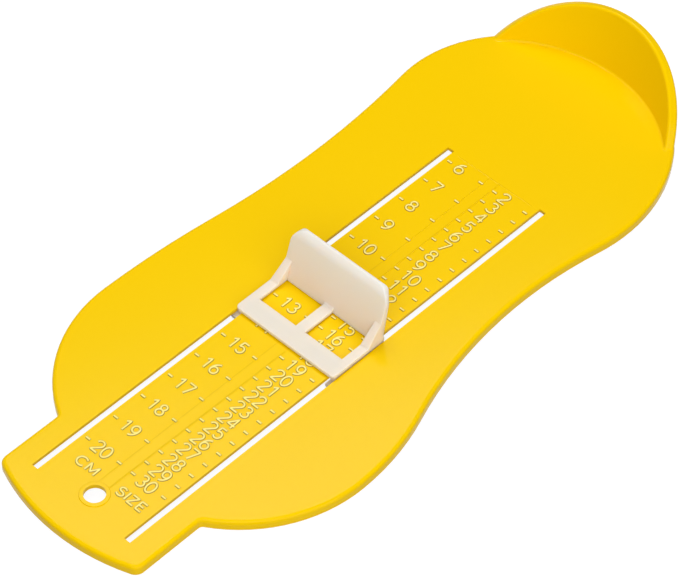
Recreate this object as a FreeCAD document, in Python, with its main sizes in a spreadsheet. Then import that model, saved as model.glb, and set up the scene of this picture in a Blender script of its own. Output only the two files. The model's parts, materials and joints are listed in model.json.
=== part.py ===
"""Foot measuring device: a plate with a heel cup, and a slider that is pushed up to the toes.

The base plate is modelled in the frame of its own scale. X = 0 is the line midway between the two slots,
Y = 0 is the zero of the scale, and a reading of r millimetres lies at Y = -r. The slider is modelled from
the foot of its toe wall, on the plate's top face. Their Placements put both in the part's frame: +Y to the
heel, +Z up, and the origin under the middle of the whole device, on the surface that it lies on.
"""
import FreeCAD, Part
import math
import os
from types import SimpleNamespace

import Sketcher

# ---------------------------------------------------------------- driving sizes, in mm and degrees
SIZES = {
    # plan of the plate
    "plate_width": 97.8,            # across the ball of the foot, its widest place
    "ball_offset": -1.3,            # middle of the ball, from the slots' centreline
    "ball_reading": 160.5,          # where the plate is widest
    "ball_radius": 44.5,            # from the ball towards the handle
    "handle_width": 52.1,
    "handle_end_reading": 226.2,
    "handle_end_radius": 67.0,
    "handle_corner_radius": 3.0,
    "neck_radius": 1.6,
    "outer_ball_radius": 78.6,      # +X side, from the ball towards the waist
    "outer_waist_radius": 142.0,
    "outer_heel_gain": 6.0,         # the heel arc's radius, over that of the arc behind the cup
    "outer_heel_inset": 4.4,        # the heel's side, inside that arc's
    "outer_heel_shift": 2.5,        # the heel arc's centre, behind the cup's axis
    "back_blend_radius": 20.0,      # from the outer heel arc to the arc behind the cup
    "inner_ball_radius": 302.0,     # -X side
    "inner_waist_radius": 281.0,
    "inner_heel_drop": 9.5,         # the heel arc's radius, under that of the arc behind the cup
    "inner_heel_turn": 23.8,        # degrees from the back, where the heel arc takes over
    # section of the plate
    "plate_height": 3.0,
    "skin_thickness": 1.1,
    "rim_wall": 1.5,
    "edge_round": 1.2,
    # heel cup, a slice of a cone
    "cup_offset": -5.9,             # its axis, from the slots' centreline
    "cup_floor_radius": 45.3,       # inside, where the wall leaves the plate's top face
    "cup_zero_gap": 1.1,            # from the scale's zero to there, at the back
    "cup_wall": 2.9,
    "cup_flare": 16.7,              # degrees from upright
    "cup_start_reading": 14.5,      # where the lip rises out of the plate
    "lip_height": 17.4,             # its inner edge over the plate's top face, at the back
    "lip_bulge_radius": 137.0,
    "lip_round": 0.8,
    "lip_run_in": 2.0,              # how far the lip's line goes on inside the plate
    "cup_root_cover": 0.2,          # under the wall's lowest edge, inside the plate
    "cup_ledge": 0.4,               # the plate's edge, behind the wall's foot
    "cup_crease": 0.8,              # hollow round between the plate and the wall's inner side
    # slots and hanging hole
    "slot_spacing": 34.7,           # between the slots' centrelines
    "slot_width": 2.2,
    "slot_far_reading": 56.3,
    "slot_near_reading": 216.4,
    "hole_radius": 3.0,
    "hole_reading": 211.9,
    "hole_offset": 0.6,
    "ring_width": 1.2,
    "ring_height": 0.3,
    "ring_round": 0.2,
    # slider
    "rest_reading": 124.5,          # the foot of the toe wall at rest
    "side_clearance": 0.3,          # leg to slot, each side
    "ride_gap": 0.4,                # under the frame, over the raised scale
    "frame_thickness": 1.1,
    "frame_reach": 17.1,            # in front of the toe wall
    "frame_overhang": 0.2,          # past the legs' outer faces
    "frame_corner": 1.3,
    "window_length": 10.8,
    "side_bar": 2.8,
    "middle_bar": 3.4,
    "toe_wall_foot": 2.8,
    "toe_wall_top": 1.2,
    "toe_wall_lean": 17.0,          # degrees from upright
    "toe_wall_straight": 13.7,      # height of the flat face over the plate
    "toe_wall_inset": 0.6,          # from the frame's sides
    "curl_radius": 6.0,
    "curl_turn": 33.0,              # degrees
    "toe_wall_corner": 4.8,
    "cheek_reach": 4.0,             # along a side bar, from the toe wall's face
    "cheek_rise": 5.2,              # over the frame's top
    "middle_cheek_reach": 0.7,
    "middle_cheek_rise": 0.6,
    "leg_inset": 0.8,               # behind the frame's front edge
    "hook_gap": 0.25,               # under the plate's skin
    "hook_depth": 1.0,
    "hook_reach": 1.2,              # past the leg's outer face
    "hook_lead": 0.7,
    "hook_overrun": 2.0,            # in front of the leg
}
SHEET_NAME = "Sizes"


class Size:
    """A number together with the expression that gives it from the sheet's cells."""

    def __init__(self, number, text):
        self.number = number
        self.text = text

    def __add__(self, other):
        other = as_size(other)
        return Size(self.number + other.number, f"({self.text} + {other.text})")

    def __sub__(self, other):
        other = as_size(other)
        return Size(self.number - other.number, f"({self.text} - {other.text})")

    def __mul__(self, other):
        other = as_size(other)
        return Size(self.number * other.number, f"({self.text} * {other.text})")

    def __truediv__(self, other):
        other = as_size(other)
        return Size(self.number / other.number, f"({self.text} / {other.text})")

    def __neg__(self):
        return Size(-self.number, f"(0 - {self.text})")


def as_size(item):
    return item if isinstance(item, Size) else Size(float(item), repr(float(item)))


def sine(angle):
    return Size(math.sin(math.radians(angle.number)), f"sin({angle.text})")


def cosine(angle):
    return Size(math.cos(math.radians(angle.number)), f"cos({angle.text})")


def tangent(angle):
    return Size(math.tan(math.radians(angle.number)), f"tan({angle.text})")


s = SimpleNamespace(**{name: Size(number, f"{SHEET_NAME}.{name}") for name, number in SIZES.items()})
zero = as_size(0.0)

# ---------------------------------------------------------------- sizes that follow from them
cup_slope = tangent(s.cup_flare)
cup_outer_radius = s.cup_floor_radius + s.cup_wall / cosine(s.cup_flare)    # at the plate's top face
cup_reading = s.cup_floor_radius + s.cup_zero_gap
cup_root = s.cup_root_cover + s.cup_wall * sine(s.cup_flare)                # the inner face's foot
cup_root_radius = s.cup_floor_radius - (s.plate_height - cup_root) * cup_slope
lip_back = s.lip_height * cup_slope - s.cup_zero_gap                        # the lip's inner edge, past scale zero
lip_back_z = s.plate_height + s.lip_height
lip_rise = s.lip_height / (lip_back + s.cup_start_reading)                  # its slope, seen from the side
lip_start = -(s.cup_start_reading + s.lip_run_in)
lip_start_z = s.plate_height - s.lip_run_in * lip_rise
# the back of the whole plate: the lip's outer edge, less what its rounding takes away
lip_setback = s.lip_round * (cosine(s.cup_flare) + sine(s.cup_flare) - 1)
rear_reach = lip_back + s.cup_wall * cosine(s.cup_flare) - lip_setback
scale_zero_y = (s.handle_end_reading - rear_reach) / 2

# the plate's outline round the heel
rear_radius = cup_outer_radius + s.cup_ledge
outer_heel_radius = rear_radius + s.outer_heel_gain
outer_heel_x = s.cup_offset - s.outer_heel_inset - s.outer_heel_gain
outer_heel_y = s.outer_heel_shift - cup_reading
inner_heel_radius = rear_radius - s.inner_heel_drop
inner_heel_x = s.cup_offset - s.inner_heel_drop * sine(s.inner_heel_turn)
inner_heel_y = s.inner_heel_drop * cosine(s.inner_heel_turn) - cup_reading

half_slots = s.slot_spacing / 2
leg_thickness = s.slot_width - s.side_clearance * 2
leg_outer = half_slots + leg_thickness / 2
frame_half = leg_outer + s.frame_overhang
wall_half = frame_half - s.toe_wall_inset
frame_top = s.ride_gap + s.frame_thickness
hook_top = -(s.skin_thickness + s.hook_gap)
hook_bottom = hook_top - s.hook_depth
toe_wall_end = s.toe_wall_lean + s.curl_turn
curl_centre_z = s.toe_wall_straight - s.curl_radius * sine(s.toe_wall_lean)
toe_wall_height = curl_centre_z + (s.curl_radius - s.toe_wall_top / 2) * sine(toe_wall_end) + s.toe_wall_top / 2


def make_sheet(doc):
    sheet = doc.addObject("Spreadsheet::Sheet", SHEET_NAME)
    for row, (name, number) in enumerate(SIZES.items(), start=1):
        sheet.set(f"A{row}", name)
        sheet.set(f"B{row}", str(number))
        sheet.setAlias(f"B{row}", name)
    doc.recompute()


def bind(item, prop, expression):
    item.setExpression(prop, as_size(expression).text)


# ---------------------------------------------------------------- sketch helpers
def origin_plane(body, role):
    return next(part for part in body.Origin.OriginFeatures if part.Role == role)


def new_sketch(body, name, role, lift=None):
    """A sketch on one of the body's own planes, raised along the plane's normal by the size lift."""
    sketch = body.newObject("Sketcher::SketchObject", name)
    sketch.AttachmentSupport = [(origin_plane(body, role), "")]
    sketch.MapMode = "FlatFace"
    if lift is not None:
        bind(sketch, "AttachmentOffset.Base.z", lift)
    return sketch


def fix(sketch, constraint, expression):
    """Add a dimension and bind it to its expression."""
    index = sketch.addConstraint(constraint)
    bind(sketch, f"Constraints[{index}]", expression)


def place_point(sketch, geometry, position, x, y):
    """Hold one point of a sketch at x, y from the sketch's origin."""
    for kind, coordinate in (("DistanceX", x), ("DistanceY", y)):
        constraint = Sketcher.Constraint(kind, -1, 1, geometry, position, as_size(coordinate).number)
        fix(sketch, constraint, coordinate)


def add_polygon(sketch, points):
    """A closed polygon whose corners are all held by expressions."""
    numbers = [FreeCAD.Vector(as_size(x).number, as_size(y).number, 0) for x, y in points]
    lines = []
    for start, end in zip(numbers, numbers[1:] + numbers[:1]):
        lines.append(sketch.addGeometry(Part.LineSegment(start, end)))
    for line, following in zip(lines, lines[1:] + lines[:1]):
        sketch.addConstraint(Sketcher.Constraint("Coincident", line, 2, following, 1))
    for line, (x, y) in zip(lines, points):
        place_point(sketch, line, 1, x, y)


def add_rectangle(sketch, left, right, bottom, top):
    add_polygon(sketch, [(left, bottom), (right, bottom), (right, top), (left, top)])


def add_circle(sketch, x, y, radius):
    centre = FreeCAD.Vector(as_size(x).number, as_size(y).number, 0)
    circle = sketch.addGeometry(Part.Circle(centre, FreeCAD.Vector(0, 0, 1), radius.number))
    fix(sketch, Sketcher.Constraint("Radius", circle, radius.number), radius)
    place_point(sketch, circle, 3, x, y)


class Chain:
    """A closed run of lines and arcs in a sketch, each joined to the one before it."""

    def __init__(self, sketch):
        self.sketch = sketch
        self.links = []             # (geometry, position of its start, position of its end, smooth)

    def line(self, start, end, smooth=True):
        geometry = self.sketch.addGeometry(Part.LineSegment(start, end))
        self.links.append((geometry, 1, 2, smooth))
        return geometry

    def arc(self, centre, radius, start, end, left_turn=True, smooth=True, radius_held=True):
        """An arc about centre. smooth says that it leaves the element before it without a corner."""
        first, last = (start, end) if left_turn else (end, start)
        a, b = (math.atan2(p.y - centre.y, p.x - centre.x) for p in (first, last))
        if b < a:
            b += 2 * math.pi
        circle = Part.Circle(centre, FreeCAD.Vector(0, 0, 1), radius.number)
        geometry = self.sketch.addGeometry(Part.ArcOfCircle(circle, a, b))
        if radius_held:
            fix(self.sketch, Sketcher.Constraint("Radius", geometry, radius.number), radius)
        self.links.append((geometry, 1, 2, smooth) if left_turn else (geometry, 2, 1, smooth))
        return geometry

    def close(self):
        for link, following in zip(self.links, self.links[1:] + self.links[:1]):
            kind = "Tangent" if following[3] else "Coincident"
            self.sketch.addConstraint(Sketcher.Constraint(kind, link[0], link[2], following[0], following[1]))


def meeting_point(centre_a, radius_a, centre_b, radius_b, side):
    """Where two circles cross, on the side of +X (1) or -X (-1)."""
    gap = centre_b - centre_a
    along = (radius_a ** 2 - radius_b ** 2 + gap.Length ** 2) / (2 * gap.Length)
    across = math.sqrt(radius_a ** 2 - along ** 2)
    direction = gap.normalize()
    sideways = FreeCAD.Vector(-direction.y, direction.x, 0)
    if sideways.x * side < 0:
        sideways = -sideways
    return centre_a + direction * along + sideways * across


def toward(centre, radius, point):
    """The point of a circle that lies in the direction of another point."""
    return centre + (point - centre).normalize() * radius


# ---------------------------------------------------------------- base plate
def flat_point(x, y):
    return FreeCAD.Vector(x.number, y.number, 0)


def draw_outline(sketch, inset):
    """The plate's foot-shaped outline, moved inwards by the size inset."""
    half_width = s.plate_width / 2 - inset
    ball_radius = s.ball_radius - inset
    back_radius = rear_radius - inset
    blend_radius = s.back_blend_radius - inset
    end_radius = s.handle_end_radius - inset
    corner_radius = s.handle_corner_radius - inset
    neck_radius = s.neck_radius + inset
    half_handle = s.handle_width / 2 - inset
    outer_heel, inner_heel = outer_heel_radius - inset, inner_heel_radius - inset
    outer_ball, outer_waist = s.outer_ball_radius - inset, s.outer_waist_radius + inset
    inner_ball, inner_waist = s.inner_ball_radius - inset, s.inner_waist_radius + inset
    end = flat_point(zero, s.handle_end_radius - s.handle_end_reading)
    cup = flat_point(s.cup_offset, -cup_reading)

    def side_points(side, ball_arc, waist_arc, heel_arc, heel):
        """Arc centres and joints of one side, from the handle's end to the heel."""
        corner_x = half_handle.number - corner_radius.number
        corner_drop = math.sqrt((end_radius.number - corner_radius.number) ** 2 - corner_x ** 2)
        corner = FreeCAD.Vector(side * corner_x, end.y - corner_drop, 0)
        ball_x = s.ball_offset + (half_width - ball_radius) * side
        ball = flat_point(ball_x, -s.ball_reading)
        neck_x = side * (half_handle.number + neck_radius.number)
        neck_drop = math.sqrt((ball_radius.number + neck_radius.number) ** 2 - (neck_x - ball.x) ** 2)
        neck = FreeCAD.Vector(neck_x, ball.y - neck_drop, 0)
        upper = flat_point(s.ball_offset + (half_width - ball_arc) * side, -s.ball_reading)
        waist = meeting_point(upper, ball_arc.number + waist_arc.number,
                              heel, heel_arc.number + waist_arc.number, side)
        return SimpleNamespace(
            corner=corner, neck=neck, ball=ball, ball_x=ball_x, upper=upper, waist=waist,
            on_end=toward(end, end_radius.number, corner),
            corner_end=corner + FreeCAD.Vector(side * corner_radius.number, 0, 0),
            neck_start=neck - FreeCAD.Vector(side * neck_radius.number, 0, 0),
            neck_end=toward(ball, ball_radius.number, neck),
            widest=ball + FreeCAD.Vector(side * ball_radius.number, 0, 0),
            waist_start=toward(upper, ball_arc.number, waist),
            waist_end=toward(heel, heel_arc.number, waist))

    heel_right, heel_left = flat_point(outer_heel_x, outer_heel_y), flat_point(inner_heel_x, inner_heel_y)
    right = side_points(1, outer_ball, outer_waist, outer_heel, heel_right)
    left = side_points(-1, inner_ball, inner_waist, inner_heel, heel_left)
    blend = meeting_point(cup, back_radius.number - blend_radius.number,
                          heel_right, outer_heel.number - blend_radius.number, 1)
    blend_start = toward(blend, blend_radius.number, blend * 2 - heel_right)
    blend_end = toward(blend, blend_radius.number, blend * 2 - cup)
    back_end = toward(cup, back_radius.number, heel_left)

    chain = Chain(sketch)
    end_arc = chain.arc(end, end_radius, left.on_end, right.on_end)
    chain.arc(right.corner, corner_radius, right.on_end, right.corner_end)
    right_side = chain.line(right.corner_end, right.neck_start)
    chain.arc(right.neck, neck_radius, right.neck_start, right.neck_end, left_turn=False)
    right_ball = chain.arc(right.ball, ball_radius, right.neck_end, right.widest)
    right_upper = chain.arc(right.upper, outer_ball, right.widest, right.waist_start)
    chain.arc(right.waist, outer_waist, right.waist_start, right.waist_end, left_turn=False)
    right_heel = chain.arc(heel_right, outer_heel, right.waist_end, blend_start)
    chain.arc(blend, blend_radius, blend_start, blend_end)
    back_arc = chain.arc(cup, back_radius, blend_end, back_end)
    left_heel = chain.arc(heel_left, inner_heel, back_end, left.waist_end)
    chain.arc(left.waist, inner_waist, left.waist_end, left.waist_start, left_turn=False)
    left_upper = chain.arc(left.upper, inner_ball, left.waist_start, left.widest)
    left_ball = chain.arc(left.ball, ball_radius, left.widest, left.neck_end)
    chain.arc(left.neck, neck_radius, left.neck_end, left.neck_start, left_turn=False)
    left_side = chain.line(left.neck_start, left.corner_end)
    chain.arc(left.corner, corner_radius, left.corner_end, left.on_end)
    chain.close()

    place_point(sketch, end_arc, 3, zero, s.handle_end_radius - s.handle_end_reading)
    place_point(sketch, right_heel, 3, outer_heel_x, outer_heel_y)
    place_point(sketch, back_arc, 3, s.cup_offset, -cup_reading)
    fix(sketch, Sketcher.Constraint("DistanceX", -1, 1, left_heel, 3, inner_heel_x.number), inner_heel_x)
    for ball, upper, ball_x in ((right_ball, right_upper, right.ball_x), (left_ball, left_upper, left.ball_x)):
        place_point(sketch, ball, 3, ball_x, -s.ball_reading)
        sketch.addConstraint(Sketcher.Constraint("Horizontal", upper, 3, ball, 3))
    for line, x in ((right_side, half_handle), (left_side, -half_handle)):
        sketch.addConstraint(Sketcher.Constraint("Vertical", line))
        fix(sketch, Sketcher.Constraint("DistanceX", -1, 1, line, 1, x.number), x)


def edge_names(shape, wanted):
    """Names of the edges of a shape for which wanted(edge) is true."""
    return [f"Edge{index}" for index, edge in enumerate(shape.Edges, start=1) if wanted(edge)]


def edge_middle(edge):
    return edge.valueAt((edge.FirstParameter + edge.LastParameter) / 2)


def is_level(edge, height, slack=1e-4):
    box = edge.BoundBox
    return abs(box.ZMin - height) < slack and abs(box.ZMax - height) < slack


def pad(body, name, sketch, length, both_ways=False):
    feature = body.newObject("PartDesign::Pad", name)
    feature.Profile = sketch
    feature.Midplane = both_ways
    bind(feature, "Length", length)
    return feature


def cut_through(body, name, sketch):
    """Cut a sketch right through the body, both ways."""
    feature = body.newObject("PartDesign::Pocket", name)
    feature.Profile = sketch
    feature.Midplane = True
    feature.Type = "ThroughAll"
    return feature


def round_edges(doc, body, name, radius, wanted):
    """Round the edges of the body so far for which wanted(edge) is true."""
    doc.recompute()
    base = body.Tip
    feature = body.newObject("PartDesign::Fillet", name)
    feature.Base = (base, edge_names(base.Shape, wanted))
    bind(feature, "Radius", radius)
    doc.recompute()
    return feature


def make_heel_cup(doc):
    """The cup's wall: a slice of a cone up to the line of its lip, thickened outwards."""
    body = doc.addObject("PartDesign::Body", "heel_cup")
    above = s.lip_height + s.cup_wall

    # the cone's inner side, turned about the cup's axis
    inner_side = doc.addObject("Sketcher::SketchObject", "CupInnerSide")
    inner_side.Placement = FreeCAD.Placement(FreeCAD.Vector(0, 0, 0), FreeCAD.Rotation(90, 0, 90))
    bind(inner_side, "Placement.Base.x", s.cup_offset)
    root_y, top_y = -(cup_reading + cup_root_radius), -(cup_reading + s.cup_floor_radius + above * cup_slope)
    side = inner_side.addGeometry(Part.LineSegment(
        FreeCAD.Vector(root_y.number, cup_root.number, 0),
        FreeCAD.Vector(top_y.number, (s.plate_height + above).number, 0)))
    place_point(inner_side, side, 1, root_y, cup_root)
    place_point(inner_side, side, 2, top_y, s.plate_height + above)
    cone = doc.addObject("Part::Revolution", "CupCone")
    cone.Source = inner_side
    cone.Axis = (0, 0, 1)
    cone.Angle = 360
    cone.Solid = False
    bind(cone, "Base.x", s.cup_offset)
    bind(cone, "Base.y", -cup_reading)

    # what is kept of it: all below the lip's line, which bulges a little
    below_lip = doc.addObject("Sketcher::SketchObject", "BelowLip")
    below_lip.Placement = inner_side.Placement
    start = FreeCAD.Vector(lip_start.number, lip_start_z.number, 0)
    finish = FreeCAD.Vector(lip_back.number, lip_back_z.number, 0)
    bulge = s.lip_bulge_radius.number
    across = FreeCAD.Vector(start.y - finish.y, finish.x - start.x, 0).normalize()
    centre = (start + finish) / 2 - across * math.sqrt(bulge ** 2 - ((finish - start).Length / 2) ** 2)
    outline = [(lip_back, lip_back_z), (lip_back + s.plate_height, lip_back_z),
               (lip_back + s.plate_height, -s.plate_height), (lip_start, -s.plate_height), (lip_start, lip_start_z)]
    corners = [FreeCAD.Vector(y.number, z.number, 0) for y, z in outline]
    chain = Chain(below_lip)
    chain.arc(centre, s.lip_bulge_radius, start, finish, left_turn=False, smooth=False)
    lines = [chain.line(a, b, smooth=False) for a, b in zip(corners, corners[1:])]
    chain.close()
    for line, (y, z) in zip(lines, outline):
        place_point(below_lip, line, 1, y, z)
    place_point(below_lip, lines[-1], 2, *outline[-1])
    kept = doc.addObject("Part::Extrusion", "KeptOfCone")
    kept.Base = below_lip
    kept.DirMode = "Custom"
    kept.Dir = (1, 0, 0)
    kept.Symmetric = True
    kept.Solid = True
    bind(kept, "LengthFwd", s.plate_width * 2)
    face = doc.addObject("Part::Common", "CupInnerFace")
    face.Base = cone
    face.Tool = kept
    wall = doc.addObject("Part::Offset", "CupWall")
    wall.Source = face
    wall.Fill = True
    bind(wall, "Value", s.cup_wall)
    doc.recompute()
    body.BaseFeature = wall
    return body


def make_base_plate(doc):
    body = doc.addObject("PartDesign::Body", "base_plate")
    body.Label = "base_plate"
    bind(body, "Placement.Base.x", -s.ball_offset)
    bind(body, "Placement.Base.y", scale_zero_y)

    outline = new_sketch(body, "PlateOutline", "XY_Plane")
    draw_outline(outline, zero)
    pad(body, "PlateBlock", outline, s.plate_height)

    round_edges(doc, body, "PlateEdge", s.edge_round, lambda edge: is_level(edge, s.plate_height.number))
    join = body.newObject("PartDesign::Boolean", "JoinCup")
    join.setObjects([make_heel_cup(doc)])
    join.Type = "Fuse"

    def on_lip(edge):
        """Its inner and its outer edge."""
        return edge_middle(edge).z > lip_back_z.number / 2 and edge.Length > s.slot_spacing.number

    def on_crease(edge):
        """Where the wall's inner side meets the plate's top face."""
        middle = edge_middle(edge)
        from_axis = math.hypot(middle.x - s.cup_offset.number, middle.y + cup_reading.number)
        return is_level(edge, s.plate_height.number) and abs(from_axis - s.cup_floor_radius.number) < 1e-2

    round_edges(doc, body, "LipRound", s.lip_round, on_lip)
    round_edges(doc, body, "CupCrease", s.cup_crease, on_crease)

    hollow = new_sketch(body, "Hollow", "XY_Plane")
    draw_outline(hollow, s.rim_wall)
    underside = body.newObject("PartDesign::Pocket", "Underside")
    underside.Profile = hollow
    underside.Reversed = True
    bind(underside, "Length", s.plate_height - s.skin_thickness)

    ring = new_sketch(body, "HoleRing", "XY_Plane", lift=s.plate_height - s.ring_height)
    add_circle(ring, s.hole_offset, -s.hole_reading, s.hole_radius + s.ring_width)
    pad(body, "HangingRing", ring, s.ring_height * 2)
    ring_top = (s.plate_height + s.ring_height).number
    round_edges(doc, body, "RingRound", s.ring_round, lambda edge: is_level(edge, ring_top))
    openings = new_sketch(body, "SlotsAndHole", "XY_Plane")
    for middle in (-half_slots, half_slots):
        add_rectangle(openings, middle - s.slot_width / 2, middle + s.slot_width / 2,
                      -s.slot_near_reading, -s.slot_far_reading)
    add_circle(openings, s.hole_offset, -s.hole_reading, s.hole_radius)
    cut_through(body, "SlotsAndHoleCut", openings)

    return body


# ---------------------------------------------------------------- slider
def draw_toe_wall(sketch):
    """Side section of the toe wall: a leaning face that curls back to the heel at its top."""
    lean = math.radians(s.toe_wall_lean.number)
    turn = math.radians(s.toe_wall_lean.number + s.curl_turn.number)
    foot = FreeCAD.Vector(0, s.ride_gap.number, 0)
    rise = s.toe_wall_straight.number - s.ride_gap.number
    bend = foot + FreeCAD.Vector(rise * math.tan(lean), rise, 0)
    curl = s.curl_radius.number
    back = curl - s.toe_wall_top.number
    centre = bend + FreeCAD.Vector(math.cos(lean), -math.sin(lean), 0) * curl

    def around(radius, angle):
        return centre + FreeCAD.Vector(-math.cos(angle), math.sin(angle), 0) * radius

    rear_foot = FreeCAD.Vector(s.toe_wall_foot.number, s.ride_gap.number, 0)
    tip = around((curl + back) / 2, turn)
    chain = Chain(sketch)
    front = chain.line(foot, bend, smooth=False)
    curled = chain.arc(centre, s.curl_radius, bend, around(curl, turn), left_turn=False)
    chain.arc(tip, s.toe_wall_top / 2, around(curl, turn), around(back, turn), left_turn=False, radius_held=False)
    inner = chain.arc(centre, s.curl_radius - s.toe_wall_top, around(back, turn), around(back, lean))
    rear = chain.line(around(back, lean), rear_foot, smooth=False)
    chain.line(rear_foot, foot, smooth=False)
    chain.close()
    bend_y = (s.toe_wall_straight - s.ride_gap) * tangent(s.toe_wall_lean)
    tip_y = bend_y + s.curl_radius * (cosine(s.toe_wall_lean) - cosine(toe_wall_end))
    rear_bend_y = bend_y + s.toe_wall_top * cosine(s.toe_wall_lean)
    place_point(sketch, front, 1, zero, s.ride_gap)
    place_point(sketch, rear, 2, s.toe_wall_foot, s.ride_gap)
    place_point(sketch, curled, 2, bend_y, s.toe_wall_straight)
    sketch.addConstraint(Sketcher.Constraint("Coincident", curled, 3, inner, 3))
    fix(sketch, Sketcher.Constraint("DistanceX", -1, 1, curled, 1, tip_y.number), tip_y)
    fix(sketch, Sketcher.Constraint("DistanceX", -1, 1, rear, 1, rear_bend_y.number), rear_bend_y)


def draw_cheek(sketch, reach, rise):
    """A gusset from a bar's top to the toe wall's face, seen from the side."""
    corner_y = (frame_top - s.ride_gap) * tangent(s.toe_wall_lean)
    bar_y = corner_y - reach
    wall_y, wall_z = corner_y + rise * tangent(s.toe_wall_lean), frame_top + rise
    inside_y = wall_y + s.toe_wall_top / 2
    inside_z = frame_top - s.frame_thickness / 2
    add_polygon(sketch, [(bar_y, inside_z), (inside_y, inside_z), (inside_y, wall_z),
                         (wall_y, wall_z), (bar_y, frame_top)])


def draw_corner_cuts(sketch):
    """What is cut from the toe wall's top corners and from the outside of its cheeks, seen from the front."""
    radius = s.toe_wall_corner
    top = toe_wall_height + s.toe_wall_top
    for side in (1, -1):
        centre = FreeCAD.Vector(side * (wall_half - radius).number, (toe_wall_height - radius).number, 0)
        beside = centre + FreeCAD.Vector(side * radius.number, 0, 0)
        above = centre + FreeCAD.Vector(0, radius.number, 0)
        outer_x = (frame_half + s.toe_wall_top) * side
        chain = Chain(sketch)
        arc = chain.arc(centre, radius, beside, above, left_turn=side > 0, smooth=False)
        up = FreeCAD.Vector(above.x, top.number, 0)
        across = FreeCAD.Vector(outer_x.number, top.number, 0)
        down = FreeCAD.Vector(outer_x.number, beside.y, 0)
        lines = [chain.line(a, b, smooth=False) for a, b in ((above, up), (up, across), (across, down), (down, beside))]
        chain.close()
        over_arc = (wall_half - radius) * side
        place_point(sketch, arc, 3, over_arc, toe_wall_height - radius)
        fix(sketch, Sketcher.Constraint("DistanceX", -1, 1, lines[0], 1, over_arc.number), over_arc)
        place_point(sketch, lines[1], 1, over_arc, top)
        place_point(sketch, lines[2], 1, outer_x, top)
        place_point(sketch, lines[3], 1, outer_x, toe_wall_height - radius)
        sketch.addConstraint(Sketcher.Constraint("Horizontal", lines[3]))
        cheek_top = frame_top + s.cheek_rise
        add_polygon(sketch, [(frame_half * side, frame_top), (outer_x, frame_top), (outer_x, cheek_top),
                             (wall_half * side, cheek_top)])


def make_slider(doc):
    body = doc.addObject("PartDesign::Body", "slider")
    body.Label = "slider"
    bind(body, "Placement.Base.x", -s.ball_offset)
    bind(body, "Placement.Base.y", scale_zero_y - s.rest_reading)
    bind(body, "Placement.Base.z", s.plate_height)

    # frame with two reading windows and a bar between them
    frame = new_sketch(body, "FrameOutline", "XY_Plane", lift=s.ride_gap)
    add_rectangle(frame, -frame_half, frame_half, -s.frame_reach, s.toe_wall_foot)
    pad(body, "Frame", frame, s.frame_thickness)
    windows = new_sketch(body, "Windows", "XY_Plane", lift=s.ride_gap)
    window_edge = frame_half - s.side_bar
    in_wall = s.toe_wall_foot / 2
    add_rectangle(windows, -window_edge, -s.middle_bar / 2, -s.window_length, in_wall)
    add_rectangle(windows, s.middle_bar / 2, window_edge, -s.window_length, in_wall)
    cut_through(body, "WindowCut", windows)

    def front_corner(edge):
        middle = edge_middle(edge)
        at_front = abs(middle.y + s.frame_reach.number) < 1e-3
        return at_front and abs(abs(middle.x) - frame_half.number) < 1e-3

    round_edges(doc, body, "FrameCorners", s.frame_corner, front_corner)

    # toe wall, with rounded corners and a cheek that rises to it from each bar
    wall_section = new_sketch(body, "ToeWallSection", "YZ_Plane")
    draw_toe_wall(wall_section)
    pad(body, "ToeWall", wall_section, wall_half * 2, both_ways=True)

    side_cheek = new_sketch(body, "SideCheekSection", "YZ_Plane", lift=window_edge)
    draw_cheek(side_cheek, s.cheek_reach, s.cheek_rise)
    right_cheek = pad(body, "RightCheek", side_cheek, s.side_bar)
    left_cheek = body.newObject("PartDesign::Mirrored", "LeftCheek")
    left_cheek.Originals = [right_cheek]
    left_cheek.MirrorPlane = (origin_plane(body, "YZ_Plane"), [""])
    body.Tip = left_cheek
    middle_cheek = new_sketch(body, "MiddleCheekSection", "YZ_Plane")
    draw_cheek(middle_cheek, s.middle_cheek_reach, s.middle_cheek_rise)
    pad(body, "MiddleCheek", middle_cheek, s.middle_bar, both_ways=True)
    corner_cuts = new_sketch(body, "CornerCuts", "XZ_Plane")
    draw_corner_cuts(corner_cuts)
    cut_through(body, "ToeWallCorners", corner_cuts)

    # legs through the slots, with hooks under the plate's skin
    leg_front = s.frame_reach - s.leg_inset
    legs = new_sketch(body, "Legs", "XY_Plane", lift=hook_bottom)
    hooks = new_sketch(body, "HookSection", "XZ_Plane", lift=-s.toe_wall_foot)
    for side in (1, -1):
        inner, outer = (half_slots - leg_thickness / 2) * side, leg_outer * side
        hook_end = (leg_outer + s.hook_reach) * side
        hook_bevel = (leg_outer + s.hook_reach - s.hook_lead) * side
        add_polygon(legs, [(inner, -leg_front), (outer, -leg_front),
                           (outer, s.toe_wall_foot), (inner, s.toe_wall_foot)])
        add_polygon(hooks, [(inner, hook_top), (hook_end, hook_top), (hook_end, hook_bottom + s.hook_lead),
                            (hook_bevel, hook_bottom), (inner, hook_bottom)])
    pad(body, "LegPair", legs, s.ride_gap - hook_bottom)
    pad(body, "Hooks", hooks, s.toe_wall_foot + leg_front + s.hook_overrun)
    return body


def check(doc):
    """Stop if any object failed or any shape isn't sound."""
    for item in doc.Objects:
        if {"Invalid", "Error"} & set(item.State):
            raise RuntimeError(f"{item.Label} failed: {item.State}")
        if item.isDerivedFrom("PartDesign::Body") and (item.Shape.isNull() or not item.Shape.isValid()):
            raise RuntimeError(f"{item.Label} has no sound shape")


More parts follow.
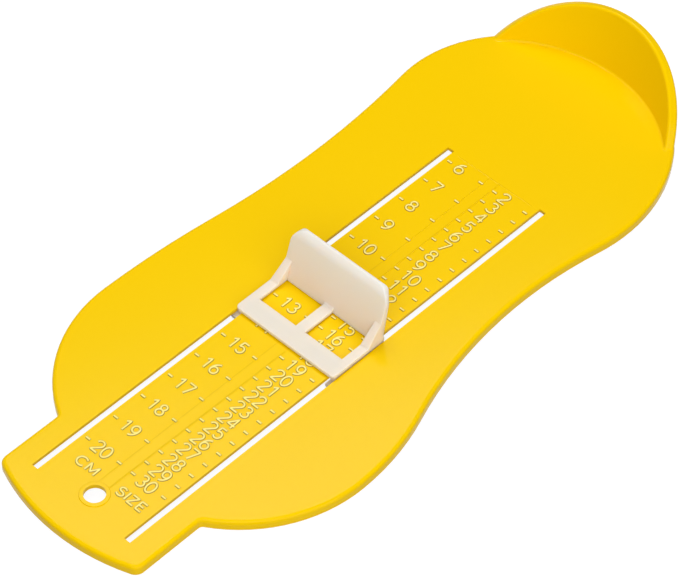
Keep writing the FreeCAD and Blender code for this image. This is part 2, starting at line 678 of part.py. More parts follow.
def main():
    doc = FreeCAD.newDocument("FootMeasuringDevice")
    make_sheet(doc)
    pieces = [make_base_plate(doc), make_slider(doc)]
    doc.recompute()
    check(doc)
    os.makedirs("parts", exist_ok=True)
    for body in pieces:
        body.Shape.exportStep(f"parts/{body.Label}.step")
        size = body.Shape.optimalBoundingBox()
        print(f"{body.Label}: {size.XLength:.2f} x {size.YLength:.2f} x {size.ZLength:.2f} mm, "
              f"{len(body.Shape.Faces)} faces, {body.Shape.Volume:.0f} mm3")


main()
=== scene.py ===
# %% [markdown]
# # A foot measuring device
# A child stands with the heel in the cup, and an adult pushes the slider up to the toes and reads the scale.
# The plate and the slider come from the CAD model as a fixed frame. This script gives them the look of
# moulded plastic: a raised scale, softened edges, and plain studio light.
# Everything is in metres. The heel cup points along +Y and the scale faces +Z.

# %% Load the frame
import json
import math

import bmesh
import bpy
from mathutils import Matrix, Quaternion, Vector

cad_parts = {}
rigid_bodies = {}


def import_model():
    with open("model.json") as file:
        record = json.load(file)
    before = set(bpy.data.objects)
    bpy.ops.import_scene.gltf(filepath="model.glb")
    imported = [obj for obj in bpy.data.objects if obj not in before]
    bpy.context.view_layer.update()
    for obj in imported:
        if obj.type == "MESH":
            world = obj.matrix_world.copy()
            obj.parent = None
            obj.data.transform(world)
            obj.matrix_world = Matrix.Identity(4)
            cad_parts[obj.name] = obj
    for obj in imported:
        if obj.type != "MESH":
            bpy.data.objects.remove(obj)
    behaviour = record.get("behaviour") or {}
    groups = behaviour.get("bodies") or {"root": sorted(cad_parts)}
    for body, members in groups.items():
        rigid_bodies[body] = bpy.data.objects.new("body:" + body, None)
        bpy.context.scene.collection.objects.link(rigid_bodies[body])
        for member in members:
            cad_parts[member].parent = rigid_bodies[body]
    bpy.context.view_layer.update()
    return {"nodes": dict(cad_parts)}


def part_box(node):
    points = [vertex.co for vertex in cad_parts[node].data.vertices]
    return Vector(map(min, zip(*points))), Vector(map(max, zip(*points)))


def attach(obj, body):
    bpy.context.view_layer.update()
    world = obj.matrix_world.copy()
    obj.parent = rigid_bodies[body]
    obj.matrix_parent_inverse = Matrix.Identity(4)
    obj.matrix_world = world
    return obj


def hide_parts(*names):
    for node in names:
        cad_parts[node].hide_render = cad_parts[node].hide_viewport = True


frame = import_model()
MM = 0.001


def in_mm(lengths):
    """Lengths in millimetres, rounded for printing."""
    return [round(length / MM, 2) for length in lengths]


plate_low, plate_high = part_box("base_plate")
slider_low, slider_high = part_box("slider")
print("plate", in_mm(plate_high - plate_low), "mm")
print("slider", in_mm(slider_high - slider_low), "mm")

# %% [markdown]
# ## Where things are on the plate
# The maker of such a gauge would place every tick by its reading, so this script does too. A reading of
# r millimetres lies r towards the handle from the zero of the scale, and sideways everything is measured
# from the line midway between the two slots.

# %% Places by their reading
HANDLE_END_READING = 226.2 * MM
SLOT_MIDDLE_X = 1.3 * MM    # the slots' midline, from the middle of the whole device
TOP_Z = 3.0 * MM            # the plate's top face
MARK_HEIGHT = 0.27 * MM     # the raised marks' tops, over that face
ZERO_Y = plate_low.y + HANDLE_END_READING


def at(x_mm, reading_mm, height_mm=0.0):
    """The point of the plate's top face at a reading, x_mm beside the slots' midline."""
    return Vector((SLOT_MIDDLE_X + x_mm * MM, ZERO_Y - reading_mm * MM, TOP_Z + height_mm * MM))


print("zero of the scale at y =", round(ZERO_Y / MM, 2), "mm")

# %% [markdown]
# ## The camera
# A long lens from nearly a metre away keeps the plate's two sides almost parallel, as a catalogue picture
# does. The camera could be aimed with a constraint, but a matrix built from its three directions says
# exactly where it looks, and leaves nothing live in the scene.

# %% Camera
AZIMUTH, ELEVATION, ROLL = (math.radians(angle) for angle in (43.663, 48.194, 0.255))
CAMERA_DISTANCE = 892.77 * MM
AIM_X, AIM_READING = -3.04, 116.68      # in mm, the place on the top face that it looks at
FOCAL_PIXELS, IMAGE_WIDTH = 3272.9, 680
SENSOR_WIDTH = 36.0         # mm
CLIP_NEAR, CLIP_FAR = 0.05, 20.0

back = Vector((math.sin(AZIMUTH) * math.cos(ELEVATION), -math.cos(AZIMUTH) * math.cos(ELEVATION),
               math.sin(ELEVATION)))
level_right = Vector((math.cos(AZIMUTH), math.sin(AZIMUTH), 0.0))
level_up = back.cross(level_right)
right = level_right * math.cos(ROLL) + level_up * math.sin(ROLL)
up = level_up * math.cos(ROLL) - level_right * math.sin(ROLL)
camera = bpy.data.objects.new("camera", bpy.data.cameras.new("camera"))
bpy.context.scene.collection.objects.link(camera)
camera.data.sensor_width = SENSOR_WIDTH
camera.data.lens = FOCAL_PIXELS * SENSOR_WIDTH / IMAGE_WIDTH
camera.data.clip_start, camera.data.clip_end = CLIP_NEAR, CLIP_FAR
camera.matrix_world = (Matrix.Translation(at(AIM_X, AIM_READING) + back * CAMERA_DISTANCE)
                       @ Matrix((right, up, back)).transposed().to_4x4())
bpy.context.scene.camera = camera
print("lens", round(camera.data.lens, 1), "mm")

# %% [markdown]
# ## Node graphs written as sums
# Materials and Geometry Nodes are both graphs. Wiring them link by link hides what they work out, so a
# small class stands for one wire and lets Python's own + - * / add the Math nodes.

# %% Graph helpers
class Wire:
    """One output of a node. Arithmetic on it adds the Math node that does it."""

    def __init__(self, graph, socket):
        self.graph = graph
        self.socket = socket

    def beside(self, output):
        """Another output of the same node."""
        return Wire(self.graph, self.socket.node.outputs[output])

    def __add__(self, other):
        return self.graph.maths("ADD", self, other)

    def __radd__(self, other):
        return self.graph.maths("ADD", other, self)

    def __sub__(self, other):
        return self.graph.maths("SUBTRACT", self, other)

    def __rsub__(self, other):
        return self.graph.maths("SUBTRACT", other, self)

    def __mul__(self, other):
        return self.graph.maths("MULTIPLY", self, other)

    def __rmul__(self, other):
        return self.graph.maths("MULTIPLY", other, self)

    def __truediv__(self, other):
        return self.graph.maths("DIVIDE", self, other)

    def __rtruediv__(self, other):
        return self.graph.maths("DIVIDE", other, self)


class Graph:
    """A node tree. Its node method adds every node."""

    def __init__(self, tree):
        self.tree = tree

    def node(self, kind, settings=None, inputs=None, output=0):
        """Add a node, change its settings, then set or link its inputs. Gives one of its outputs.

        A list of wires goes into a socket that takes many.
        """
        made = self.tree.nodes.new(kind)
        for name, setting in (settings or {}).items():
            setattr(made, name, setting)
        for key, value in (inputs or {}).items():
            if isinstance(value, (Wire, list)):
                for wire in value if isinstance(value, list) else [value]:
                    self.tree.links.new(wire.socket, made.inputs[key])
            else:
                made.inputs[key].default_value = value
        return Wire(self, made.outputs[output]) if made.outputs else None

    def maths(self, operation, *numbers):
        """A Math node on numbers or wires."""
        return self.node("ShaderNodeMath", {"operation": operation}, dict(enumerate(numbers)))


def new_material(name):
    material = bpy.data.materials.new(name)
    material.use_nodes = True
    material.node_tree.nodes.clear()
    return material, Graph(material.node_tree)


# %% [markdown]
# ## Moulded plastic
# Such a plate is usually ABS or polypropylene, coloured right through, so it has no paint to chip. What the
# eye reads as plastic is small: the colour drifts a little over the sheet, the mould's fine grain breaks up
# the gloss, and the surface is never quite flat. One recipe makes all four finishes from noise in Object
# coordinates, and each finish gives it its own colours.
#
# The raised marks are real ridges, but so low that soft light hardly shows them. So their colour is painted
# light: a whitish yellow on top, a painted highlight where a ridge would glint, and brown at the foot,
# painted shade. The slider's milky plastic lets light in, and its foot is painted warmer than its top:
# painted yellow light, as if thrown up from the plate.

# %% Shader helpers
MIX_FACTOR, MIX_FIRST, MIX_SECOND, MIX_COLOUR = 0, 6, 7, 2      # a Mix node's sockets for colours
NOISE_MIDDLE = 0.5          # a noise's numbers lie round this


def opaque(colour):
    """A colour with full alpha."""
    return (*colour, 1.0)


def mixed(graph, factor, first, second):
    """A colour between two colours."""
    return graph.node("ShaderNodeMix", {"data_type": "RGBA"},
                      {MIX_FACTOR: factor, MIX_FIRST: first, MIX_SECOND: second}, output=MIX_COLOUR)


def noise(graph, place, scale, detail):
    """A soft pattern of numbers. For places in metres, a scale of 20 gives about 20 blots per metre."""
    return graph.node("ShaderNodeTexNoise", {}, {"Vector": place, "Scale": scale, "Detail": detail})


def bumped(graph, height, distance, below=None):
    """A normal tilted by a height map that stands distance metres high, on top of another one below."""
    sockets = {"Height": height, "Distance": distance, "Strength": 1.0}
    if below:
        sockets["Normal"] = below
    return graph.node("ShaderNodeBump", {}, sockets)


# %% Recipe of a plastic
DRIFT_SCALE, DRIFT_DETAIL = 22.0, 3.0
WAVE_SCALE, WAVE_DETAIL = 60.0, 1.0
GRAIN_SCALE, GRAIN_DETAIL = 2600.0, 2.0
GRAIN_ROUGHENING = 0.05     # how far each noise moves the roughness
DRIFT_ROUGHENING = 0.03
WAVE_RISE = 6               # the waves stand this many times as high as the grain
GLOW_WEIGHT = 0.8
GLOW_SPREAD = (1.0, 0.85, 0.7)      # how far red, green and blue go, in glow depths


def plastic(name, colour, darker, roughness, specular, grain, glow_depth=0.0, foot=None):
    """A dyed plastic: its colour drifts towards darker, and its grain stands grain metres high.

    glow_depth lets light in that far. foot is another colour and the two heights in metres between which
    the piece changes from it to its own colours; this change by height is painted light.
    """
    material, graph = new_material(name)
    place = graph.node("ShaderNodeTexCoord", output="Object")
    drift = noise(graph, place, DRIFT_SCALE, DRIFT_DETAIL)
    grains = noise(graph, place, GRAIN_SCALE, GRAIN_DETAIL)
    waves = noise(graph, place, WAVE_SCALE, WAVE_DETAIL)
    tone_and_painted_light = mixed(graph, drift, opaque(colour), opaque(darker))
    # A foot's colour, changing with height, is painted light: shade and highlight, or light thrown up from
    # below.
    if foot:
        foot_colour, low_z, high_z = foot
        height = graph.node("ShaderNodeSeparateXYZ", {}, {"Vector": place}, output="Z")
        rise = graph.node("ShaderNodeMapRange", {}, {"Value": height, "From Min": low_z, "From Max": high_z})
        tone_and_painted_light = mixed(graph, rise, opaque(foot_colour), tone_and_painted_light)
    wavy = bumped(graph, waves, grain * WAVE_RISE)
    finish = {
        "Base Color": tone_and_painted_light,
        "Roughness": (roughness + (grains - NOISE_MIDDLE) * GRAIN_ROUGHENING
                      + (drift - NOISE_MIDDLE) * DRIFT_ROUGHENING),
        "Specular IOR Level": specular,
        "Normal": bumped(graph, grains, grain, below=wavy),
    }
    if glow_depth:
        finish["Subsurface Weight"] = GLOW_WEIGHT
        finish["Subsurface Radius"] = GLOW_SPREAD
        finish["Subsurface Scale"] = glow_depth
    surface = graph.node("ShaderNodeBsdfPrincipled", {}, finish)
    graph.node("ShaderNodeOutputMaterial", {}, {"Surface": surface})
    return material


# %% The four plastics
MARK_SHADE_SHARE = 0.5       # up to this share of its height a mark has the brown of the painted shade
MARK_HIGHLIGHT_SHARE = 0.92       # and from this share on the whitish yellow of the painted highlight
SLIDER_YELLOW_LIGHT_TOP = TOP_Z + 3 * MM        # up to here the slider's colour is warmed by painted yellow light from the plate

yellow = plastic("yellow_plastic", colour=(0.94, 0.605, 0.0), darker=(0.925, 0.585, 0.0),
                 roughness=0.15, specular=0.072, grain=0.0005 * MM)
# The guide lines' darker yellow is painted shade.
shaded_seam = plastic("yellow_seam", colour=(0.88, 0.555, 0.0), darker=(0.87, 0.54, 0.0),
               roughness=0.2, specular=0.06, grain=0.0005 * MM)
# The marks' whitish top is a painted highlight and their brown foot is painted shade.
marks_painted_light = plastic("raised_marks", colour=(1.0, 0.86, 0.26), darker=(1.0, 0.84, 0.22),
               roughness=0.3, specular=0.5, grain=0.001 * MM,
               foot=((0.36, 0.20, 0.0), TOP_Z + MARK_HEIGHT * MARK_SHADE_SHARE,
                     TOP_Z + MARK_HEIGHT * MARK_HIGHLIGHT_SHARE))
# The slider's warm foot colour is painted light: the plate's yellow light thrown up into it.
white = plastic("white_plastic", colour=(0.90, 0.87, 0.83), darker=(0.89, 0.855, 0.815),
                roughness=0.45, specular=0.35, grain=0.003 * MM, glow_depth=3.0 * MM,
                foot=((0.855, 0.74, 0.625), SLIDER_YELLOW_LIGHT_TOP, slider_high.z))
print("materials:", [material.name for material in (yellow, shaded_seam, marks_painted_light, white)])

# %% [markdown]
# ## The plate
# The CAD solid already has the plate's foot outline, rounded edge, slots and heel cup, so it stays as it
# is and only takes the plastic's finish.

# %% Plate finish
plate = frame["nodes"]["base_plate"]
plate.data.materials.clear()
plate.data.materials.append(yellow)
print("plate faces:", len(plate.data.polygons))

# %% [markdown]
# ## The slider
# A moulded slider has no sharp edges. They could be rounded in the CAD solid one by one, but where many of
# them meet that is fragile. Here a copy gets the rounding from a Bevel modifier, once its flat faces are
# whole again, and stands for the node.

# %% Copy of a CAD node
UNDERSIDE_SHARE = 0.3       # how much of the softness the frame's underside gets
FRAME_CLEARANCE = 0.4 * MM  # from the plate to the frame's underside
LEVEL_SLACK = 0.05 * MM     # an edge up to this far above the underside counts as one of its own
NARROW = 0.55 * MM          # a strip no wider than this belongs to a rounding that is there already
SHARP = math.radians(28)    # an edge that turns more than this is softened
FLAT = math.radians(1.5)    # faces that turn less than this are one flat face
DOUBLES_APART = 0.002 * MM  # corners closer than this are one corner


def share_of_softness(edge):
    """No softness beside a rounding that is there already, a little along the underside, all elsewhere."""
    if min(face.calc_area() / edge.calc_length() for face in edge.link_faces) < NARROW:
        return 0.0
    underside_z = TOP_Z + FRAME_CLEARANCE + LEVEL_SLACK
    return UNDERSIDE_SHARE if all(corner.co.z < underside_z for corner in edge.verts) else 1.0


def copy_of_node(node, name):
    """A copy of a CAD node with its doubles merged, its flat faces whole and its sharp edges weighted."""
    mesh = frame["nodes"][node].data.copy()
    mesh.name = name
    work = bmesh.new()
    work.from_mesh(mesh)
    bmesh.ops.remove_doubles(work, verts=work.verts, dist=DOUBLES_APART)
    bmesh.ops.dissolve_limit(work, angle_limit=FLAT, verts=work.verts, edges=work.edges)
    bmesh.ops.recalc_face_normals(work, faces=work.faces)
    softness = work.edges.layers.float.new("bevel_weight_edge")
    for edge in work.edges:
        if len(edge.link_faces) == 2 and edge.calc_face_angle() > SHARP:
            edge[softness] = share_of_softness(edge)
    work.to_mesh(mesh)
    work.free()
    copied = bpy.data.objects.new(name, mesh)
    bpy.context.scene.collection.objects.link(copied)
    return copied


# %% Finishing a piece
def as_plain_mesh(item):
    """Turn an object with modifiers into a new object with a plain mesh and the same name."""
    depsgraph = bpy.context.evaluated_depsgraph_get()
    mesh = bpy.data.meshes.new_from_object(item.evaluated_get(depsgraph), depsgraph=depsgraph)
    name = item.name
    bpy.data.objects.remove(item)
    mesh.name = name
    plain = bpy.data.objects.new(name, mesh)
    bpy.context.scene.collection.objects.link(plain)
    return plain


def finish_piece(piece, material, body):
    """Give a piece its material and its body."""
    piece.data.materials.clear()
    piece.data.materials.append(material)
    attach(piece, body)
    print(piece.name, "triangles:", sum(len(face.vertices) - 2 for face in piece.data.polygons))


# %% Slider
EDGE_SOFTNESS = 0.45 * MM
EDGE_SEGMENTS = 3
FLAT_FACES_FIRST = 100      # a large flat face decides the shading of its edges

soft = copy_of_node("slider", "soft_slider")
bevel = soft.modifiers.new("soft edges", "BEVEL")
bevel.width = EDGE_SOFTNESS
bevel.segments = EDGE_SEGMENTS
bevel.limit_method = "WEIGHT"
weighted = soft.modifiers.new("flat faces stay flat", "WEIGHTED_NORMAL")
weighted.weight = FLAT_FACES_FIRST
soft.data.shade_smooth()
soft = as_plain_mesh(soft)
finish_piece(soft, white, "slider")
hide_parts("slider")

# %% [markdown]
# ## Strokes of the raised scale
# The mould maker cuts each figure with a round cutter, so a figure is a few strokes of one width with
# round ends. A font would give filled letters of uneven width, so each figure is drawn here from arcs and
# lines, one unit high, and Geometry Nodes turn the strokes to ridges.

# %% Strokes of each figure and letter
def arc(x, y, radius_x, radius_y, start, end, steps=12):
    """Points of an arc. Angles are in degrees, and a larger end turns left."""
    angles = [math.radians(start + (end - start) * step / steps) for step in range(steps + 1)]
    return [(x + radius_x * math.cos(angle), y + radius_y * math.sin(angle)) for angle in angles]


SIX = [arc(.56, .34, .52, .66, 100, 180, 8) + arc(.31, .31, .27, .31, 180, 540, 18)[1:]]
SIX_WIDTH = .62
STROKES = {
    "0": [arc(.31, .5, .29, .5, 90, 450, 20)],
    "1": [[(.12, .78), (.36, 1), (.36, 0)]],
    "2": [arc(.3, .73, .27, .27, 170, -38, 12) + [(.03, 0), (.6, 0)]],
    "3": [arc(.29, .75, .24, .25, 150, -80, 10), arc(.3, .27, .28, .27, 80, -150, 12)],
    "4": [[(.46, 0), (.46, 1), (.02, .28), (.62, .28)]],
    "5": [[(.54, 1), (.13, 1), (.08, .54)] + arc(.3, .32, .27, .32, 128, -145, 12)],
    "6": SIX,
    "7": [[(.03, 1), (.58, 1), (.22, 0)]],
    "8": [arc(.31, .76, .22, .24, -90, 270, 16), arc(.31, .27, .27, .27, 90, 450, 18)],
    "9": [[(SIX_WIDTH - x, 1 - y) for x, y in stroke] for stroke in SIX],
}
LETTERS = {
    # letter: (width, strokes)
    "C": (.95, [arc(.56, .5, .56, .5, 46, 314, 18)]),
    "E": (.70, [[(.68, 1), (0, 1), (0, 0), (.7, 0)], [(0, .52), (.6, .52)]]),
    "I": (.0, [[(0, 1), (0, 0)]]),
    "M": (1.05, [[(0, 0), (0, 1), (.525, .15), (1.05, 1), (1.05, 0)]]),
    "S": (.78, [arc(.39, .755, .35, .245, 30, 265, 12) + arc(.39, .26, .39, .26, 85, -150, 14)]),
    "Z": (.80, [[(.02, 1), (.78, 1), (0, 0), (.8, 0)]]),
}
print("drawn:", " ".join(STROKES), " ".join(LETTERS))


# %% Strokes as bare edges
def stroke_mesh(name, strokes, scale):
    """The strokes as bare edges, ready for a tree to sweep."""
    mesh = bpy.data.meshes.new(name)
    points, edges = [], []
    for stroke in strokes:
        first = len(points)
        points += [(x * scale, y * scale, 0.0) for x, y in stroke]
        edges += [(i, i + 1) for i in range(first, len(points) - 1)]
    mesh.from_pydata(points, edges, [])
    return mesh


FIGURE_HEIGHT = 3.8 * MM    # between the middles of a figure's top and bottom strokes
digits = bpy.data.collections.new("digits")
for digit, strokes in STROKES.items():
    mesh = stroke_mesh("digit_" + digit, strokes, FIGURE_HEIGHT)
    digits.objects.link(bpy.data.objects.new("digit_" + digit, mesh))

# %% [markdown]
# ## A Geometry Nodes tree for the figures
# All figures of a scale follow one rule: figure n stands at the reading start + n x step. One digit is a
# mesh in a collection, in the order 0 to 9, and the tree picks it from the number's tens or units. A rule
# like this is what Geometry Nodes are for: the numbers are worked out for each point, and nothing is
# placed by hand.

# %% Start, end and run of a tree
STROKE_RADIUS = 0.5 * MM
STROKE_SIDES = 16
STROKE_STEP = 0.3 * MM
SOCKETS = {int: "NodeSocketInt", float: "NodeSocketFloat"}


def new_tree(name, numbers):
    """A tree with a mesh in, a mesh out and named number inputs. Gives its graph and those inputs."""
    tree = bpy.data.node_groups.new(name, "GeometryNodeTree")
    for way in ("INPUT", "OUTPUT"):
        tree.interface.new_socket("Geometry", in_out=way, socket_type="NodeSocketGeometry")
    for label, kind in numbers.items():
        tree.interface.new_socket(label, in_out="INPUT", socket_type=SOCKETS[kind])
    graph = Graph(tree)
    source = graph.node("NodeGroupInput")
    return graph, {label: source.beside(label) for label in ("Geometry", *numbers)}


def close_tree(graph, strokes, material, radius, sides=STROKE_SIDES, step=STROKE_STEP):
    """Make the strokes real, sweep a round bar along them, give it its material and end the tree."""
    real = graph.node("GeometryNodeRealizeInstances", {}, {0: strokes})
    bare = graph.node("GeometryNodeMeshToCurve", {}, {0: real})
    lines = graph.node("GeometryNodeResampleCurve", {"mode": "LENGTH"}, {"Curve": bare, "Length": step})
    bar = graph.node("GeometryNodeCurvePrimitiveCircle", {}, {"Resolution": sides, "Radius": radius})
    ridges = graph.node("GeometryNodeCurveToMesh", {},
                        {"Curve": lines, "Profile Curve": bar, "Fill Caps": True})
    shaded = graph.node("GeometryNodeSetShadeSmooth", {}, {0: ridges})
    painted = graph.node("GeometryNodeSetMaterial", {}, {"Geometry": shaded, "Material": material})
    graph.node("NodeGroupOutput", {}, {0: painted})


def run_tree(name, graph, numbers, mesh=None):
    """Run a tree on a mesh, or on an empty one, and keep the result as a plain mesh."""
    if mesh is None:
        mesh = bpy.data.meshes.new(name)
    carrier = bpy.data.objects.new(name, mesh)
    bpy.context.scene.collection.objects.link(carrier)
    modifier = carrier.modifiers.new(name, "NODES")
    modifier.node_group = graph.tree
    for item in graph.tree.interface.items_tree:
        if item.in_out == "INPUT" and item.name in numbers:
            modifier[item.identifier] = numbers[item.name]
    return as_plain_mesh(carrier)


# %% Tree of a scale's figures
NUMBER_BASE = 10.0
LAST_LONE_NUMBER = 9.0      # larger numbers have two figures
COLUMN_INPUTS = {"Count": int, "Start": float, "Step": float, "Zero": float, "Height": float, "Radius": float}


def points_by_reading(graph, given, index, x):
    """One point for each reading of a column: the first at Start, the next a Step on, and so forth."""
    points = graph.node("GeometryNodeMeshLine", {"mode": "OFFSET"}, {"Count": given["Count"]})
    row = given["Zero"] - given["Start"] - index * given["Step"]
    spot = graph.node("ShaderNodeCombineXYZ", {}, {"X": x, "Y": row, "Z": given["Height"]})
    return graph.node("GeometryNodeSetPosition", {}, {"Geometry": points, "Position": spot})


def figures_tree(digits, material):
    """A column of numbers, of one or two figures each."""
    graph, given = new_tree("scale_figures", {
        **COLUMN_INPUTS, "First": int, "Left": float, "Advance": float, "Widening": float,
        "Lone Widening": float})
    index = graph.node("GeometryNodeInputIndex")
    value = index + given["First"]
    tens = graph.maths("FLOOR", value / NUMBER_BASE)
    units = value - tens * NUMBER_BASE
    pair = graph.maths("GREATER_THAN", value, LAST_LONE_NUMBER)
    width = given["Lone Widening"] + pair * (given["Widening"] - given["Lone Widening"])
    stretch = graph.node("ShaderNodeCombineXYZ", {}, {"X": width, "Y": 1.0, "Z": 1.0})
    glyphs = graph.node("GeometryNodeCollectionInfo", {},
                        {"Collection": digits, "Separate Children": True, "Reset Children": True})
    figures = []
    for number, x, shown in ((units, given["Left"] + given["Advance"] * pair, True),
                             (tens, given["Left"], pair)):
        figures.append(graph.node("GeometryNodeInstanceOnPoints", {}, {
            "Points": points_by_reading(graph, given, index, x), "Selection": shown, "Instance": glyphs,
            "Pick Instance": True, "Instance Index": number, "Scale": stretch}))
    joined = graph.node("GeometryNodeJoinGeometry", {}, {"Geometry": figures})
    close_tree(graph, joined, material, given["Radius"])
    return graph


# %% Figures
ADVANCE = 3.05 * MM         # from one figure to the next
FIGURE_WIDENING = 1.08
LONE_WIDENING = 1.2         # a number of one figure is drawn a little wider
STROKE_Z = TOP_Z + MARK_HEIGHT - STROKE_RADIUS     # most of a stroke's round bar is sunk in the plate
ROW_SHIFT = 0.27            # the whole scale sits this much nearer the handle, mm
FIGURE_COLUMNS = {
    # name: (count, first number, reading of the first, step, left edge beside the slots' midline), in mm
    "centimetre_figures": (15, 6, 60.0, 10.0, -11.56),
    "size_figures": (29, 2, 60.0, 5.0, 5.15),
}
figures = figures_tree(digits, marks_painted_light)
for name, (count, first, start, step, left) in FIGURE_COLUMNS.items():
    piece = run_tree(name, figures, {
        "Count": count, "First": first, "Start": (start + ROW_SHIFT) * MM + FIGURE_HEIGHT / 2,
        "Step": step * MM, "Left": at(left, start).x, "Zero": ZERO_Y, "Height": STROKE_Z,
        "Advance": ADVANCE, "Widening": FIGURE_WIDENING, "Lone Widening": LONE_WIDENING,
        "Radius": STROKE_RADIUS})
    finish_piece(piece, marks_painted_light, "base")
for digit in list(digits.objects):      # the figures are plain meshes now
    bpy.data.objects.remove(digit)

# %% [markdown]
# ## Ticks
# The ticks follow the same kind of rule, with one short stroke at each reading. The stroke is drawn in the
# tree itself, so that its length is a named input too.

# %% Tree of a column of ticks
def ticks_tree(material):
    """A column of short strokes along X, each centred on Middle."""
    graph, given = new_tree("scale_ticks", {**COLUMN_INPUTS, "Middle": float, "Length": float})
    index = graph.node("GeometryNodeInputIndex")
    ends = [graph.node("ShaderNodeCombineXYZ", {}, {"X": given["Length"] * half}) for half in (-0.5, 0.5)]
    dash = graph.node("GeometryNodeCurvePrimitiveLine", {}, {"Start": ends[0], "End": ends[1]})
    dash_mesh = graph.node("GeometryNodeCurveToMesh", {}, {"Curve": dash})
    placed = graph.node("GeometryNodeInstanceOnPoints", {}, {
        "Points": points_by_reading(graph, given, index, given["Middle"]), "Instance": dash_mesh})
    close_tree(graph, placed, material, given["Radius"])
    return graph


# %% Ticks
TICK_LENGTH = 1.5 * MM      # without its round ends
TICK_COLUMNS = {
    # name: (count, reading of the first, step, middle beside the slots' midline), in mm
    "centimetre_ticks_outer": (15, 60.0, 10.0, -14.2),
    "centimetre_ticks_inner": (15, 60.0, 10.0, -2.35),
    "size_ticks_inner": (29, 60.0, 5.0, 2.85),
    "size_ticks_outer": (29, 60.0, 5.0, 14.2),
}
ticks = ticks_tree(marks_painted_light)
for name, (count, start, step, middle) in TICK_COLUMNS.items():
    piece = run_tree(name, ticks, {
        "Count": count, "Start": (start + ROW_SHIFT) * MM, "Step": step * MM, "Middle": at(middle, start).x,
        "Zero": ZERO_Y, "Height": STROKE_Z, "Length": TICK_LENGTH, "Radius": STROKE_RADIUS})
    finish_piece(piece, marks_painted_light, "base")

# %% [markdown]
# ## Labels
# The unit and the word over the sizes have a few letters each. They follow no rule, so they are laid out
# letter by letter in Python, and a tree only sweeps their strokes.

# %% Tree that sweeps given strokes
def sweep_tree(name, material, sides=STROKE_SIDES, step=STROKE_STEP):
    """The bare edges of the mesh that comes in, swept to ridges."""
    graph, given = new_tree(name, {"Radius": float})
    close_tree(graph, given["Geometry"], material, given["Radius"], sides, step)
    return graph


# %% Labels
LABELS = {
    # name: (word, left edge, reading of its middle, height of a letter, gap between letters), in mm
    "centimetre_label": ("CM", -11.3, 206.6, 2.9, 1.16),
    "size_label": ("SIZE", 3.95, 206.45, 2.8, 1.0),
}


def word_strokes(word, height, gap):
    """A word's strokes, from its left edge and foot, in the unit of height and gap."""
    strokes, pen = [], 0.0
    for letter in word:
        width, letter_strokes = LETTERS[letter]
        strokes += [[(pen + x * height, y * height) for x, y in stroke] for stroke in letter_strokes]
        pen += width * height + gap
    return strokes


lettering = sweep_tree("lettering", marks_painted_light)
for name, (word, left, reading, height, gap) in LABELS.items():
    mesh = stroke_mesh(name, word_strokes(word, height, gap), MM)
    mesh.transform(Matrix.Translation(at(left, reading + height / 2, (STROKE_Z - TOP_Z) / MM)))
    finish_piece(run_tree(name, lettering, {"Radius": STROKE_RADIUS}, mesh), marks_painted_light, "base")

# %% [markdown]
# ## Guide lines
# Two faint lines run along the plate between the two scales, with a cross line at their start. They look
# like joints of the mould's inserts, so they are low; their yellow is a little darker than the plate's,
# which is painted shade. Only the top of a thick round bar shows over the plate, which gives a line that
# is wide and soft.

# %% Guide lines
GUIDE_SIDES = 64            # so little of the bar shows that it needs many sides
GUIDE_STEP = 10 * MM
GUIDE_LINES = {
    # name: (height over the plate, ends as x beside the slots' midline and reading), in mm
    "guide_line_left": (0.035, [(-1.8, 208.2), (-1.8, 57.0)]),
    "guide_line_right": (0.085, [(1.85, 207.7), (1.85, 57.0)]),
    "guide_line_cross": (0.03, [(-14.0, 57.0), (14.0, 57.0)]),
}
moulding = sweep_tree("moulding", shaded_seam, GUIDE_SIDES, GUIDE_STEP)
for name, (height, ends) in GUIDE_LINES.items():
    mesh = stroke_mesh(name, [[tuple(at(x, reading).xy) for x, reading in ends]], 1.0)
    mesh.transform(Matrix.Translation((0, 0, TOP_Z + height * MM - STROKE_RADIUS)))
    finish_piece(run_tree(name, moulding, {"Radius": STROKE_RADIUS}, mesh), shaded_seam, "base")

# %% [markdown]
# ## Studio
# A large soft lamp behind and above the plate shows in the near half of it as a soft sheen, and leaves
# the cup's wall and the toe wall a little darker, because they turn away from it. Three more lamps, in
# front and at both sides, and the world fill the shades.
# The floor is white to the camera by its own shader, so no extra lamp has to burn it out, and the diffuse
# part of it still takes the shadow.

# %% Floor
FLOOR_HALF = 6.0            # half of its side
FLOOR_DROP = 0.2 * MM       # under the plate's rim, so that the two don't share a plane
FLOOR_GREY = 0.35           # what the object's light bounces off
SHADOW_GREY = 0.14          # the part of the seen floor that takes the shadow
FLOOR_GLOW = 0.93


def grey(level):
    return opaque((level, level, level))


corners = [(x * FLOOR_HALF, y * FLOOR_HALF, 0) for x, y in ((-1, -1), (1, -1), (1, 1), (-1, 1))]
floor_mesh = bpy.data.meshes.new("floor")
floor_mesh.from_pydata(corners, [], [(0, 1, 2, 3)])
floor = bpy.data.objects.new("floor", floor_mesh)
floor.location.z = -FLOOR_DROP
bpy.context.scene.collection.objects.link(floor)

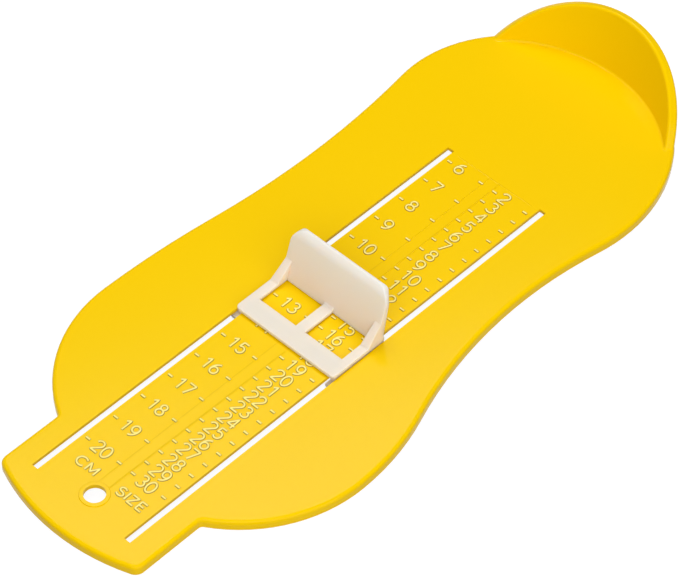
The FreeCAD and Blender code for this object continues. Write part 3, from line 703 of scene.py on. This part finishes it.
floor_paint, floor_graph = new_material("white_floor")
camera_ray = floor_graph.node("ShaderNodeLightPath", output="Is Camera Ray")
mirrored_ray = floor_graph.maths(
    "MAXIMUM", camera_ray.beside("Is Glossy Ray"), camera_ray.beside("Is Transmission Ray"))
seen = floor_graph.maths("MAXIMUM", camera_ray, mirrored_ray)
plain = floor_graph.node("ShaderNodeBsdfDiffuse", {}, {"Color": grey(FLOOR_GREY)})
shadow_part = floor_graph.node("ShaderNodeBsdfDiffuse", {}, {"Color": grey(SHADOW_GREY)})
glow = floor_graph.node("ShaderNodeEmission", {}, {"Color": grey(1.0), "Strength": FLOOR_GLOW})
shown = floor_graph.node("ShaderNodeAddShader", {}, {0: shadow_part, 1: glow})
either = floor_graph.node("ShaderNodeMixShader", {}, {"Fac": seen, 1: plain, 2: shown})
floor_graph.node("ShaderNodeOutputMaterial", {}, {"Surface": either})
floor_mesh.materials.append(floor_paint)
print("floor", 2 * FLOOR_HALF, "m wide")

# %% World
WORLD_LIGHT = 0.18
world = bpy.data.worlds.new("studio")
world.use_nodes = True
world.node_tree.nodes.clear()
bpy.context.scene.world = world
world_graph = Graph(world.node_tree)
sky = world_graph.node("ShaderNodeBackground", {}, {"Color": grey(1.0), "Strength": WORLD_LIGHT})
world_graph.node("ShaderNodeOutputWorld", {}, {"Surface": sky})
print("world strength", WORLD_LIGHT)


# %% Lamps
def lamp(name, place, aim, size, power, turn):
    """A square soft lamp, turned about its own axis by turn degrees."""
    light = bpy.data.lights.new(name, "AREA")
    light.shape = "SQUARE"
    light.size = size
    light.energy = power
    item = bpy.data.objects.new(name, light)
    item.location = place
    facing = (Vector(place) - Vector(aim)).to_track_quat("Z", "Y")
    item.rotation_euler = (facing @ Quaternion((0.0, 0.0, 1.0), math.radians(turn))).to_euler()
    bpy.context.scene.collection.objects.link(item)
    print(name, "power", power, "W")


LAMPS = {
    # name: (place, the point it aims at, side of its square, power in watts, turn)
    "key": ((-0.405, 0.352, 1.15), (0.0, -0.07, 0.003), 0.6, 8.2, 11.5),
    "front": ((0.6, -0.97, 1.0), (0.0, 0.0, 0.0), 1.2, 11.5, 0.0),
    "right": ((1.2, -0.2, 0.5), (0.0, 0.0, 0.0), 1.0, 6.5, 0.0),
    "left": ((-1.2, -0.3, 0.7), (0.0, 0.0, 0.0), 1.2, 1.5, 0.0),
}
for name, (place, aim, size, power, turn) in LAMPS.items():
    lamp(name, place, aim, size, power, turn)

# %% [markdown]
# ## The view
# Of Blender's ways to show a picture, Standard shows a colour as it is written.

# %% View settings
bpy.context.scene.view_settings.view_transform = "Standard"
